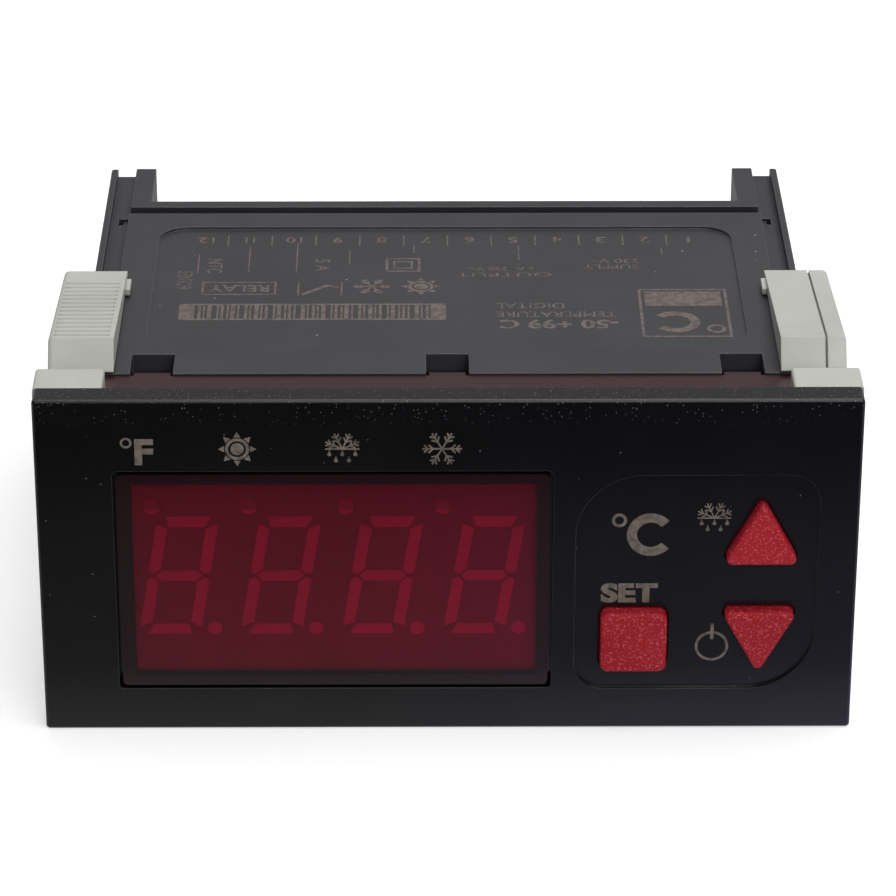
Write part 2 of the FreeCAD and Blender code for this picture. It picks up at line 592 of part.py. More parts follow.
def addFigures(body, start, length, cut, shrink):
    """Four figures with their points and the four round indicators, cut or raised."""
    figure = newSketch(body, "XZ_Plane", start)
    for outline in segmentOutlines():
        addOutline(figure, outline)
    bars = extrude(body, figure, length, cut)
    repeat(body, [bars], "X_Axis", "digit_pitch", "4")
    points = newSketch(body, "XZ_Plane", start)
    x, z = digitPoint("digit_half_width + point_offset", "0.6 - digit_half_height")
    for number in range(4):
        addCircle(points, "%s + %d * digit_pitch" % (x, number), z, "point_radius - " + shrink)
        addCircle(points, "%s - dot_left + %d * dot_pitch" % (moduleX, number), moduleZ + " + dot_raise",
                  "dot_radius - " + shrink)
    extrude(body, points, length, cut)


def makeDisplay():
    """Four-figure display: a mask with open bars and the pale diffuser that fills them."""
    maskBack = "module_front + mask_thick"
    mask = newBody("display_mask")
    box(mask, span(moduleX, "module_width"), ("module_front", "display_board_y"),
        span(moduleZ, "module_height"))
    box(mask, span(moduleX, "module_width - 2 * module_wall"), (maskBack, "display_board_y"),
        span(moduleZ, "module_height - 2 * module_wall"), cut=True)
    addFigures(mask, "module_front", "mask_thick", True, "0")
    diffuser = newBody("display_diffuser")
    box(diffuser, span(moduleX, "module_width - 2 * module_wall - 0.1"),
        (maskBack, maskBack + " + diffuser_thick"), span(moduleZ, "module_height - 2 * module_wall - 0.1"))
    addFigures(diffuser, "module_front + 0.05", "mask_thick - 0.05", False, "0.03")


def makeBoards():
    face = newBody("display_board")
    inset = "(collar_inset + collar_wall + board_clear)"
    box(face, both("%s - %s" % (side, inset)), ("display_board_y", displayBoardBack),
        both("%s - %s" % (top, inset)))
    board = newBody("main_board")
    wide = "(%s - guide_depth)" % cavitySide
    shoulder = "(%s - tail_step)" % coverFront
    end = "(%s - 0.5)" % bodyBack
    outline = [(minus(wide), "main_board_front"), (wide, "main_board_front"), (wide, shoulder),
               (tailHalf, shoulder), (tailHalf, end), (minus(tailHalf), end), (minus(tailHalf), shoulder),
               (minus(wide), shoulder)]
    prism(board, "XY_Plane", boardBottom, "board_thick", outline)
    hole = box(board, span(firstPole, "pin_size + 2 * pin_clear"), span(pinRow, "pin_size + 2 * pin_clear"),
               (boardBottom, boardTop), cut=True)
    repeat(board, [hole], "X_Axis", "pole_pitch", "pole_count")


def makeTerminals():
    """Twelve-way screw terminal block with its cages and screws."""
    block = newBody("terminal_block")
    profile = [(blockFront, boardTop), (blockBack, boardTop), (blockBack, blockTop + " - 5.5"),
               (blockBack + " - 0.9", blockTop + " - 4.6"), (blockBack + " - 0.9", blockTop),
               (blockFront + " + 0.6", blockTop), (blockFront, blockTop + " - 0.6")]
    prism(block, "YZ_Plane", minus(blockHalf), "2 * " + blockHalf, profile)
    cellTop = boardTop + " + cell_height"
    entryBottom = boardTop + " + entry_sill"
    cell = box(block, span(firstPole, "cell_width"), (blockFront + " + 1", blockBack + " - cell_wall"),
               (boardTop, cellTop), cut=True)
    entry = box(block, span(firstPole, "entry_width"), (blockBack + " - cell_wall", blockBack),
                (entryBottom, entryBottom + " + entry_height"), cut=True)
    well = rod(block, "XY_Plane", cellTop, "block_height - cell_height", firstPole, pinRow, "well_radius",
               cut=True)
    repeat(block, [cell, entry, well], "X_Axis", "pole_pitch", "pole_count")

    cages = newBody("terminal_cages")
    cageWidth = "cell_width - 2 * cage_clear"
    cageDepth = (blockFront + " + 1.2", blockBack + " - cell_wall - 0.2")
    cageTop = cellTop + " - 0.8"
    mouthTop = cageTop + " - 1.7"
    cage = box(cages, span(firstPole, cageWidth), cageDepth, (boardTop + " + 0.4", cageTop))
    mouth = box(cages, span(firstPole, cageWidth + " - 2 * cage_wall"), cageDepth,
                (boardTop + " + 0.4 + cage_wall", mouthTop), cut=True)
    thread = rod(cages, "XY_Plane", mouthTop, "1.7", firstPole, pinRow, "screw_radius + 0.05", cut=True)
    pin = box(cages, span(firstPole, "pin_size"), span(pinRow, "pin_size"),
              (boardBottom + " - 1.5", boardTop + " + 0.4 + cage_wall / 2"))
    repeat(cages, [cage, mouth, thread, pin], "X_Axis", "pole_pitch", "pole_count")

    screws = newBody("terminal_screws")
    headTop = blockTop + " - screw_sunk"
    headBottom = blockTop + " - screw_sunk - screw_head"
    shankBottom = mouthTop + " - 1"
    head = rod(screws, "XY_Plane", headBottom, "screw_head", firstPole, pinRow, "screw_head_radius")
    shank = rod(screws, "XY_Plane", shankBottom, "%s - (%s)" % (headBottom, shankBottom), firstPole, pinRow,
                "screw_radius")
    slot = box(screws, span(firstPole, "screw_slot"), span(pinRow, "2 * screw_head_radius + 0.2"),
               (headTop + " - 0.8", headTop), cut=True)
    repeat(screws, [head, shank, slot], "X_Axis", "pole_pitch", "pole_count")


def makeTransformer():
    x = "-transformer_left"
    y = "(roof_back - power_row)"
    coreBottom = boardTop + " + 1"
    coreTop = coreBottom + " + core_height"
    core = newBody("transformer_core")
    box(core, span(x, "core_width"), span(y, "core_depth"), (coreBottom, coreTop))
    opening = "(core_width / 2 - limb_width)"
    for hand in ("", "-"):
        window = "%s %s (limb_width / 2 + %s / 2)" % (x, hand or "+", opening)
        box(core, span(window, opening), span(y, "core_depth"), (coreBottom + " + 3.5", coreTop + " - 3.5"),
            cut=True)
    winding = newBody("transformer_winding")
    box(winding, span(x, "coil_width"), span(y, "coil_depth"), (boardTop, coreBottom))
    coil = box(winding, span(x, "coil_width"), span(y, "coil_depth"),
               (coreBottom + " + 3.6", coreTop + " - 3.6"), upright=True)
    soften(winding, coil, ownCorners(coil), "coil_round")
    box(winding, span(x, "limb_width + 0.1"), span(y, "core_depth + 0.1"), (coreBottom, coreTop), cut=True)
    for hand in ("", "-"):
        pier = "%s %s (coil_depth / 2 - 1.5)" % (y, hand or "+")
        box(winding, span(x, "12"), span(pier, "1.8"), (coreBottom, coreBottom + " + 3.6"))


def makeCan(label, x, radius, height, edge):
    """An upright round can with a bevelled rim, in the row behind the front board."""
    body = newBody(label)
    can = rod(body, "XY_Plane", boardTop, height, x, "front_row", radius)
    soften(body, can, lambda line, ends: ends[0].z > can.Shape.CenterOfMass.z, edge, bevel=True)
    return body


def makePowerParts():
    """What the main board carries between the transformer and the relay."""
    relay = newBody("output_relay")
    can = box(relay, span("relay_right", "relay_width"), span("roof_back - power_row", "relay_depth"),
              (boardTop, boardTop + " + relay_height"))
    soften(relay, can, lambda edge, ends: max(end.z for end in ends) > can.Shape.CenterOfMass.z,
           "0.5", bevel=True)
    makeCan("filter_capacitor", "-large_can_left", "large_can_radius", "large_can_height", "0.5")
    makeCan("output_capacitor", "small_can_right", "small_can_radius", "small_can_height", "0.4")
    sounder = makeCan("buzzer", "buzzer_right", "buzzer_radius", "buzzer_height", "0.6")
    rod(sounder, "XY_Plane", boardTop + " + 7", "buzzer_height - 7", "buzzer_right", "front_row", "1", cut=True)

    disc = newBody("surge_varistor")
    discFront = "(roof_back - varistor_row)"
    rod(disc, "XZ_Plane", discFront, "varistor_thick", "-varistor_left", boardTop + " + varistor_radius + 1.8",
        "varistor_radius")
    for leg in ("-varistor_left - 2.5", "2.5 - varistor_left"):
        rod(disc, "XY_Plane", boardTop, "4.5", leg, discFront + " + varistor_thick / 2", "lead_radius")

    diodes = newBody("rectifier_diodes")
    height = boardTop + " + diode_radius + 0.05"
    barrel = rod(diodes, "XZ_Plane", "diode_row + 2", "diode_length", "diode_right", height, "diode_radius")
    lead = rod(diodes, "XZ_Plane", "diode_row", "diode_length + 4", "diode_right", height, "lead_radius")
    legs = [rod(diodes, "XY_Plane", boardTop, "diode_radius + 0.35", "diode_right", y, "lead_radius")
            for y in ("diode_row + 0.1", "diode_row + diode_length + 3.9")]
    repeat(diodes, [barrel, lead] + legs, "X_Axis", "diode_pitch", "4")

    regulator = newBody("voltage_regulator")
    across = span("regulator_right", "tab_width")
    tabFront = "(front_row - tab_thick + 0.4)"
    box(regulator, across, (tabFront + " - 3.8", tabFront + " + 0.6"),
        (boardTop + " + 4", boardTop + " + 12.6"))
    box(regulator, across, (tabFront, tabFront + " + tab_thick"), (boardTop + " + 4", boardTop + " + 17"))
    rod(regulator, "XZ_Plane", tabFront, "tab_thick", "regulator_right", boardTop + " + 14.9", "1.8", cut=True)
    for leg in ("-header_pitch", "0", "header_pitch"):
        box(regulator, span("regulator_right + " + leg, "0.8"), span(tabFront + " - 1.6", "0.5"),
            (boardTop, boardTop + " + 4"))


def makeUprightBoardParts():
    chip = newBody("microcontroller")
    box(chip, span("-chip_left", "chip_size"), (displayBoardBack + " + 0.1", displayBoardBack + " + 1.5"),
        span("chip_raise", "chip_size"))
    leads = [box(chip, (edge, edge + " + 1"), (displayBoardBack, displayBoardBack + " + 0.5"),
                 span("chip_raise - 5 * chip_pitch", "0.4"))
             for edge in ("chip_size / 2 - chip_left", "-chip_size / 2 - chip_left - 1")]
    repeat(chip, leads, "Z_Axis", "chip_pitch", "11")

    header = newBody("board_header")
    box(header, both("header_pins * header_pitch / 2"),
        (displayBoardBack + " + 1.4", displayBoardBack + " + 3.9"), (boardTop, boardTop + " + 2.5"))
    pin = box(header, span("header_pitch / 2 - header_pins * header_pitch / 2", "0.64"),
              (displayBoardBack, displayBoardBack + " + 1.4"), (boardTop + " + 0.93", boardTop + " + 1.57"))
    repeat(header, [pin], "X_Axis", "header_pitch", "header_pins")


makeHousing()
makeRearCover()
makeFrontBezel()
makeWindowMoulding()
arrowMiddle = "(arrow_gap / 2 + arrow_height / 3)"
keys = {
    "set": (setX, setZ, setCorners, "set_corner"),
    "up": (arrowX, arrowZ + " + " + arrowMiddle, lambda grow: arrowCorners(True, grow), "arrow_corner"),
    "down": (arrowX, arrowZ + " - " + arrowMiddle, lambda grow: arrowCorners(False, grow), "arrow_corner"),
}
for name, (x, z, corners, radius) in keys.items():
    makeKey(name + "_button", corners, radius, x, z)
    makePlunger(name + "_plunger", x, z)
makeSwitches([key[:2] for key in keys.values()])
makeClip("right_clip")
makeClip("left_clip").Placement.Rotation = FreeCAD.Rotation(Vector(0, 1, 0), 180)
makeDisplay()
makeBoards()
makeTerminals()
makeTransformer()
makePowerParts()
makeUprightBoardParts()

doc.recompute()
for item in doc.Objects:
    if {"Invalid", "Error"} & set(item.State):
        raise RuntimeError("%s did not build: %s" % (item.Label, item.State))
for label, item in parts.items():
    if item.Shape.isNull() or not item.Shape.isValid():
        raise RuntimeError("%s has no sound shape" % label)

os.makedirs("parts", exist_ok=True)
for label, item in parts.items():
    item.Shape.exportStep("parts/%s.step" % label)
    bounds = item.Shape.BoundBox
    print("%-20s solids %2d  volume %9.1f  x %7.2f %7.2f  y %7.2f %7.2f  z %7.2f %7.2f" % (
        label, len(item.Shape.Solids), item.Shape.Volume, bounds.XMin, bounds.XMax,
        bounds.YMin, bounds.YMax, bounds.ZMin, bounds.ZMax))
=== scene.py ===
import bpy
import math
from mathutils import Matrix, Vector


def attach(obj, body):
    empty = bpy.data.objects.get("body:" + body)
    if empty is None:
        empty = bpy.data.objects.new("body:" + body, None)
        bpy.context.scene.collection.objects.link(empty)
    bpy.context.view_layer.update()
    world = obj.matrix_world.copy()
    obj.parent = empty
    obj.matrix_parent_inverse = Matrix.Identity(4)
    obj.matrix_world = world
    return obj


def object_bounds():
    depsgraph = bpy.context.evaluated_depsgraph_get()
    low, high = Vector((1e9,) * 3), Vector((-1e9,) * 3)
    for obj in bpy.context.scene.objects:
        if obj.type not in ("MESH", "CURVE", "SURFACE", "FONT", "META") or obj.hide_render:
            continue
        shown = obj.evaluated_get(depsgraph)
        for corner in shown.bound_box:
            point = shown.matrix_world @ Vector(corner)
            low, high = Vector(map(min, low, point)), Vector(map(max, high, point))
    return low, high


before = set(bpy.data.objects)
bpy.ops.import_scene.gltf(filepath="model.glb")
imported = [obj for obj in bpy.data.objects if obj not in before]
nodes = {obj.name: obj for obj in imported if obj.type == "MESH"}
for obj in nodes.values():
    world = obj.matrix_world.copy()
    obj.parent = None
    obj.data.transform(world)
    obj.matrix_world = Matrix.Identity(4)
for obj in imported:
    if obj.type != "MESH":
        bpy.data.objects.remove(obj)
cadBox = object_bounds()
mm = 0.001
print("frame loaded:", len(nodes), "nodes")


def hexColour(code):
    # sRGB hex to the linear colour that a shader takes
    channels = [int(code[i:i + 2], 16) / 255 for i in (1, 3, 5)]
    return [c / 12.92 if c <= 0.04045 else ((c + 0.055) / 1.055) ** 2.4 for c in channels] + [1]


def addNode(tree, kind, inputs={}, stops=(), **settings):
    # one node with its settings and colour stops, its sockets set to a value or linked to an output
    node = tree.nodes.new("ShaderNode" + kind)
    for name, value in settings.items():
        setattr(node, name, value)
    if stops:
        ramp = node.color_ramp.elements
        ramp[0].position, ramp[1].position = stops[0][0], stops[-1][0]
        for level, colour in stops[1:-1]:
            ramp.new(level)
        for element, (level, colour) in zip(ramp, stops):
            element.color = hexColour(colour)
    for socket, value in inputs.items():
        if isinstance(value, bpy.types.NodeSocket):
            tree.links.new(value, node.inputs[socket])
        else:
            node.inputs[socket].default_value = value
    return node


# the camera looks down on the front from a little left of its middle; lengths in mm, turns in degrees
view = {"place": (-2.83, -349.2, 187.31), "down": 26.76, "right": 0.46, "roll": 0.10,
        "lens": 168.18, "sensor": 36, "nearest": 10}

camera = bpy.data.objects.new("camera", bpy.data.cameras.new("camera"))
bpy.context.scene.collection.objects.link(camera)
camera.data.lens = view["lens"]
camera.data.sensor_width = view["sensor"]
camera.data.clip_start = view["nearest"] * mm
camera.matrix_world = (
    Matrix.Translation(Vector(view["place"]) * mm)
    @ Matrix.Rotation(math.radians(-view["right"]), 4, "Z")
    @ Matrix.Rotation(math.radians(90 - view["down"]), 4, "X")
    @ Matrix.Rotation(math.radians(view["roll"]), 4, "Z"))
bpy.context.scene.camera = camera
bpy.context.scene.view_settings.view_transform = "Standard"
print("camera set")


# a white paper sweep under two softboxes; glossy surfaces see the paper darken away from the object, a
# painted reflection that stands in for black cards in front of it and behind it
studio = {
    "paper": 0.80, "paperSize": 8, "paperLift": 0.42, "ambient": 0.30,
    "reflectedFront": 0.02, "reflectedBack": 0.34, "reflectedTurn": (-0.5, 0.4),
    # the paper's mirrored tones, from darkAt mm in front of the panel line up to that line
    "darkAt": 75,
    "paperTones": ((0.04, "#262626"), (0.20, "#3c3c3c"), (0.35, "#636363"), (0.60, "#747474"),
                   (0.80, "#7e7e7e"), (0.88, "#a8a8a8"), (0.95, "#bababa")),
    # a bluish tint painted into the paper's mirrored tones in front, from coolFrom mm to coolTo mm across
    "coolSide": (1.32, 1.22, 1.75, 1), "coolFrom": -10, "coolTo": 42,
    # softboxes: watts, and places and sizes in metres
    "topPower": 3.2, "topPlace": (0.12, 0.03, 0.60), "topSize": (0.7, 0.5),
    "frontPower": 2.1, "frontPlace": (0.22, -0.75, 0.45), "frontSize": (0.5, 0.4),
    "aim": (0, 0.02, 0),
}


def raysOfEye(tree):
    # 1 for rays of the camera and those that a mirror-like or clear surface sends on
    path = addNode(tree, "LightPath")
    first = addNode(tree, "Math", {0: path.outputs["Is Camera Ray"], 1: path.outputs["Is Glossy Ray"]},
                    operation="MAXIMUM")
    return path, addNode(tree, "Math", {0: first.outputs[0], 1: path.outputs["Is Transmission Ray"]},
                         operation="MAXIMUM").outputs[0]


def makeWorld():
    # the eye sees white, mirrors see a painted reflection, dim and darkest towards the front, and matt
    # surfaces get the ambient light
    world = bpy.data.worlds.new("studio")
    bpy.context.scene.world = world
    world.use_nodes = True
    tree = world.node_tree
    tree.nodes.clear()
    path, eye = raysOfEye(tree)
    ambient = addNode(tree, "Background", {"Strength": studio["ambient"], "Color": (1, 1, 1, 1)})
    white = addNode(tree, "Background", {"Strength": 1.0, "Color": (1, 1, 1, 1)})
    direction = addNode(tree, "SeparateXYZ", {0: addNode(tree, "TexCoord").outputs["Generated"]})
    front, back = studio["reflectedTurn"]
    room = addNode(tree, "MapRange", {"Value": direction.outputs["Y"], "From Min": front, "From Max": back,
                                      "To Min": studio["reflectedFront"], "To Max": studio["reflectedBack"]})
    mirrored = addNode(tree, "Background", {"Strength": room.outputs[0], "Color": (1, 1, 1, 1)})
    glossy = addNode(tree, "MixShader", {0: path.outputs["Is Glossy Ray"], 1: white.outputs[0],
                                         2: mirrored.outputs[0]})
    mix = addNode(tree, "MixShader", {0: eye, 1: ambient.outputs[0], 2: glossy.outputs[0]})
    addNode(tree, "OutputWorld", {0: mix.outputs[0]})


def makeFloor():
    # the paper under the object: it takes the shadow, looks white, and carries a painted reflection tone
    # where it is mirrored
    bpy.ops.mesh.primitive_plane_add(size=studio["paperSize"], location=(0, 0, cadBox[0][2]))
    floor = bpy.context.object
    floor.name = "floor"
    paper = bpy.data.materials.new("whitePaperSweep")
    paper.use_nodes = True
    tree = paper.node_tree
    tree.nodes.clear()
    path, eye = raysOfEye(tree)
    tone = studio["paper"]
    matte = addNode(tree, "BsdfDiffuse", {"Color": (tone, tone, tone, 1)})
    place = addNode(tree, "SeparateXYZ", {0: addNode(tree, "TexCoord").outputs["Object"]})
    ahead = addNode(tree, "MapRange", {"Value": place.outputs["Y"], "From Min": -studio["darkAt"] * mm,
                                       "From Max": 0.0})
    tones = addNode(tree, "ValToRGB", {0: ahead.outputs[0]}, stops=studio["paperTones"])
    side = addNode(tree, "MapRange", {"Value": place.outputs["X"], "From Min": studio["coolFrom"] * mm,
                                      "From Max": studio["coolTo"] * mm})
    infront = addNode(tree, "Math", {0: place.outputs["Y"], 1: 0.0}, operation="LESS_THAN")
    cool = addNode(tree, "Math", {0: side.outputs[0], 1: infront.outputs[0]}, operation="MULTIPLY")
    tint = addNode(tree, "MixRGB", {0: cool.outputs[0], 1: (1, 1, 1, 1), 2: studio["coolSide"]})
    glow = addNode(tree, "MixRGB", {0: 1.0, 1: tones.outputs[0], 2: tint.outputs[0]}, blend_type="MULTIPLY")
    lift = addNode(tree, "Emission", {"Color": (1, 1, 1, 1), "Strength": studio["paperLift"]})
    seen = addNode(tree, "AddShader", {0: matte.outputs[0], 1: lift.outputs[0]})
    mirrored = addNode(tree, "Emission", {"Color": glow.outputs[0], "Strength": 1.0})
    glossy = addNode(tree, "MixShader", {0: path.outputs["Is Glossy Ray"], 1: seen.outputs[0],
                                         2: mirrored.outputs[0]})
    mix = addNode(tree, "MixShader", {0: eye, 1: matte.outputs[0], 2: glossy.outputs[0]})
    addNode(tree, "OutputMaterial", {0: mix.outputs[0]})
    floor.data.materials.append(paper)


def makeLamp(name, place, size, power):
    lamp = bpy.data.objects.new(name, bpy.data.lights.new(name, "AREA"))
    bpy.context.scene.collection.objects.link(lamp)
    lamp.data.shape = "RECTANGLE"
    lamp.data.size, lamp.data.size_y = size
    lamp.data.energy = power
    lamp.location = place
    lamp.rotation_euler = (Vector(studio["aim"]) - Vector(place)).to_track_quat("-Z", "Y").to_euler()


makeWorld()
makeFloor()
makeLamp("topSoftbox", studio["topPlace"], studio["topSize"], studio["topPower"])
makeLamp("frontSoftbox", studio["frontPlace"], studio["frontSize"], studio["frontPower"])
print("studio ready")


def perMm(size):
    # a texture scale whose features are about this many millimetres wide
    return 1 / (size * mm)


def bandsPerMm(pitch):
    # the same for straight bands, because a wave texture counts 20 radians to one unit
    return perMm(pitch) * math.tau / 20


def newMaterial(name, values):
    material = bpy.data.materials.new(name)
    material.use_nodes = True
    tree = material.node_tree
    tree.nodes.clear()
    shader = addNode(tree, "BsdfPrincipled", values)
    addNode(tree, "OutputMaterial", {0: shader.outputs[0]})
    place = addNode(tree, "TexCoord").outputs["Object"]
    return material, tree, shader, place


def flecks(tree, place, dust):
    # round flecks of some mm in a share of the cells of a pattern pitch mm wide, and only above a height
    # where the look gives one
    rim = dust["size"] / dust["pitch"]
    soft = 1.5 * rim
    cells = addNode(tree, "TexVoronoi", {"Vector": place, "Scale": perMm(dust["pitch"])})
    dots = addNode(tree, "MapRange", {"Value": cells.outputs["Distance"], "From Min": rim,
                                      "From Max": soft, "To Min": 1.0, "To Max": 0.0})
    pick = addNode(tree, "SeparateColor", {0: cells.outputs["Color"]})
    kept = addNode(tree, "Math", {0: pick.outputs[0], 1: dust["share"]}, operation="LESS_THAN")
    mask = addNode(tree, "Math", {0: dots.outputs[0], 1: kept.outputs[0]}, operation="MULTIPLY")
    if "above" in dust:
        height = addNode(tree, "SeparateXYZ", {0: place})
        rise = addNode(tree, "MapRange", {"Value": height.outputs["Z"], "From Min": dust["above"][0] * mm,
                                          "From Max": dust["above"][1] * mm})
        mask = addNode(tree, "Math", {0: mask.outputs[0], 1: rise.outputs[0]}, operation="MULTIPLY")
    return mask.outputs[0]


# what a moulding has unless its own look says otherwise; sizes are in mm
usualMoulding = {"ior": 1.5, "specular": 0.5, "drift": 9, "roughSwing": 0.06, "edge": 0.12, "strength": 0.5,
                 "edgeWearAndHighlightPatch": 1.5, "dust": ()}
# where each effect starts and where it is full, as read from its noise, wave, occlusion or bend
onset = {"drift": (0.35, 0.65), "stripe": (0.62, 0.85), "paintedGlint": (0.54, 0.68), "paintedShade": (0.92, 0.45),
         "edgeWearAndHighlight": (0.99, 0.85)}


def plastic(name, ownLook):
    # moulded plastic: a slow drift of colour, a fine grit, softened edges and whatever lies on it
    look = {**usualMoulding, **ownLook}
    material, tree, shader, place = newMaterial(name, {
        "IOR": look["ior"], "Specular IOR Level": look["specular"]})
    drift = addNode(tree, "TexNoise", {"Vector": place, "Scale": perMm(look["drift"]), "Detail": 3})
    colour = addNode(tree, "ValToRGB", {0: drift.outputs["Fac"]},
                     stops=((onset["drift"][0], look["low"]), (onset["drift"][1], look["high"]))).outputs[0]
    grain = addNode(tree, "TexNoise", {"Vector": place, "Scale": perMm(look["grit"]),
                                       "Detail": 2}).outputs["Fac"]
    if "upper" in look:
        height = addNode(tree, "SeparateXYZ", {0: place})
        rise = addNode(tree, "MapRange", {"Value": height.outputs["Z"], "From Min": look["upperFrom"] * mm,
                                          "From Max": look["upperTo"] * mm})
        colour = addNode(tree, "MixRGB", {0: rise.outputs[0], 1: colour,
                                          2: hexColour(look["upper"])}).outputs[0]
    edge = addNode(tree, "Bevel", {"Radius": look["edge"] * mm}, samples=4)
    if "stripe" in look:
        # turns of tape or copper tracks: straight lines across one axis
        lines = addNode(tree, "TexWave", {"Vector": place, "Scale": bandsPerMm(look["stripe"])},
                        bands_direction=look["stripeAxis"])
        start, full = onset["stripe"]
        sharp = addNode(tree, "MapRange", {"Value": lines.outputs["Fac"], "From Min": start, "From Max": full,
                                           "To Max": look["stripeShare"]})
        colour = addNode(tree, "MixRGB", {0: sharp.outputs[0], 1: colour,
                                          2: hexColour(look["stripeColour"])}).outputs[0]
    if "paintedGlint" in look:
        # painted highlight: the tips of the grit are painted paler, as if they caught the light
        start, full = onset["paintedGlint"]
        peaks = addNode(tree, "MapRange", {"Value": grain, "From Min": start, "From Max": full})
        colour = addNode(tree, "MixRGB", {0: peaks.outputs[0], 1: colour,
                                          2: hexColour(look["paintedGlint"])}).outputs[0]
    if "paintedShade" in look:
        # painted shade: narrow grooves and inner corners are painted darker, where little light gets in
        reach = addNode(tree, "AmbientOcclusion", {"Distance": look["paintedShadeReach"] * mm}, samples=8,
                        only_local=True)
        start, full = onset["paintedShade"]
        shut = addNode(tree, "MapRange", {"Value": reach.outputs["AO"], "From Min": start, "From Max": full,
                                          "To Max": look["paintedShadeShare"]})
        colour = addNode(tree, "MixRGB", {0: shut.outputs[0], 1: colour,
                                          2: hexColour(look["paintedShade"])}).outputs[0]
    if "edgeWearAndHighlight" in look:
        # moulded corners rub paler and catch a highlight, both painted paler where the softened normal leaves
        # the flat one
        flat = addNode(tree, "NewGeometry").outputs["Normal"]
        bend = addNode(tree, "VectorMath", {0: edge.outputs[0], 1: flat}, operation="DOT_PRODUCT")
        start, full = onset["edgeWearAndHighlight"]
        paleEdgeMask = addNode(tree, "MapRange", {"Value": bend.outputs["Value"], "From Min": start, "From Max": full,
                                         "To Max": look["edgeWearAndHighlightShare"]})
        patch = addNode(tree, "TexNoise", {"Vector": place, "Scale": perMm(look["edgeWearAndHighlightPatch"]), "Detail": 4})
        patchy = addNode(tree, "Math", {0: paleEdgeMask.outputs[0], 1: patch.outputs["Fac"]}, operation="MULTIPLY")
        colour = addNode(tree, "MixRGB", {0: patchy.outputs[0], 1: colour,
                                          2: hexColour(look["edgeWearAndHighlight"])}).outputs[0]
    for dust in look["dust"]:
        colour = addNode(tree, "MixRGB", {0: flecks(tree, place, dust), 1: colour,
                                          2: hexColour(dust["colour"])}).outputs[0]
    tree.links.new(colour, shader.inputs["Base Color"])
    rough = addNode(tree, "MapRange", {"Value": grain, "To Min": look["rough"] - look["roughSwing"],
                                       "To Max": look["rough"] + look["roughSwing"]})
    tree.links.new(rough.outputs[0], shader.inputs["Roughness"])
    bump = addNode(tree, "Bump", {"Height": grain, "Strength": look["strength"],
                                  "Distance": look["depth"] * mm, "Normal": edge.outputs[0]})
    tree.links.new(bump.outputs[0], shader.inputs["Normal"])
    return material


def dress(names, material):
    for name in names:
        slots = nodes[name].data.materials
        slots.clear()
        slots.append(material)


# grit, in mm, is the width of the tool's texture: most of it is drawn coarser than it is, to show at all
blackMouldings = {
    # ABS with a fine spark texture: an even dark grey that takes a broad soft sheen; its edges are painted
    # paler, for rubbing and a painted highlight
    "blackAbsSparkMoulded": (("housing", "rear_cover"), {
        "low": "#2a292f", "high": "#302f35", "rough": 0.42, "grit": 0.28, "depth": 0.010, "edge": 0.15,
        "specular": 0.75, "edgeWearAndHighlight": "#8a888e", "edgeWearAndHighlightShare": 0.7,
        "dust": ({"pitch": 2.6, "size": 0.09, "share": 0.25, "colour": "#8c8a88"},)}),
    # polycarbonate from a polished tool: nearly black and mirror-like, so it shows lint and dust; its edges
    # are painted paler, for rubbing and a painted highlight
    "blackPolycarbonateSatin": (("front_bezel",), {
        "low": "#08080a", "high": "#0c0c0f", "rough": 0.24, "grit": 0.22, "depth": 0.003, "edge": 0.15,
        "edgeWearAndHighlight": "#5e5c60", "edgeWearAndHighlightShare": 0.5,
        "dust": ({"pitch": 1.3, "size": 0.05, "share": 0.35, "colour": "#6e6c6c"},
                 {"pitch": 4.5, "size": 0.12, "share": 0.25, "colour": "#a8a6a2"},
                 {"pitch": 0.36, "size": 0.05, "share": 0.45, "colour": "#626165", "above": (14.6, 17.0)},
                 {"pitch": 0.4, "size": 0.13, "share": 0.5, "colour": "#1d1d20", "above": (17.2, 17.45)})}),
    # glass-filled polyamide of the terminals, switches and sounder: dull and faintly fibrous
    "blackPolyamideMoulded": (("terminal_block", "tact_switches", "set_plunger", "up_plunger", "down_plunger",
                               "buzzer", "board_header"), {
        "low": "#161618", "high": "#1e1e21", "rough": 0.5, "grit": 0.2, "depth": 0.008}),
    # transfer-moulded epoxy of the semiconductors: flat black
    "blackEpoxyMoulded": (("rectifier_diodes", "voltage_regulator", "microcontroller"), {
        "low": "#141415", "high": "#1b1b1c", "rough": 0.6, "grit": 0.15, "depth": 0.01}),
    # shrunk vinyl sleeve of the two cans: smooth and slightly rippled
    "blackVinylSleeve": (("filter_capacitor", "output_capacitor"), {
        "low": "#15151f", "high": "#1b1b27", "rough": 0.28, "grit": 0.8, "depth": 0.02}),
}
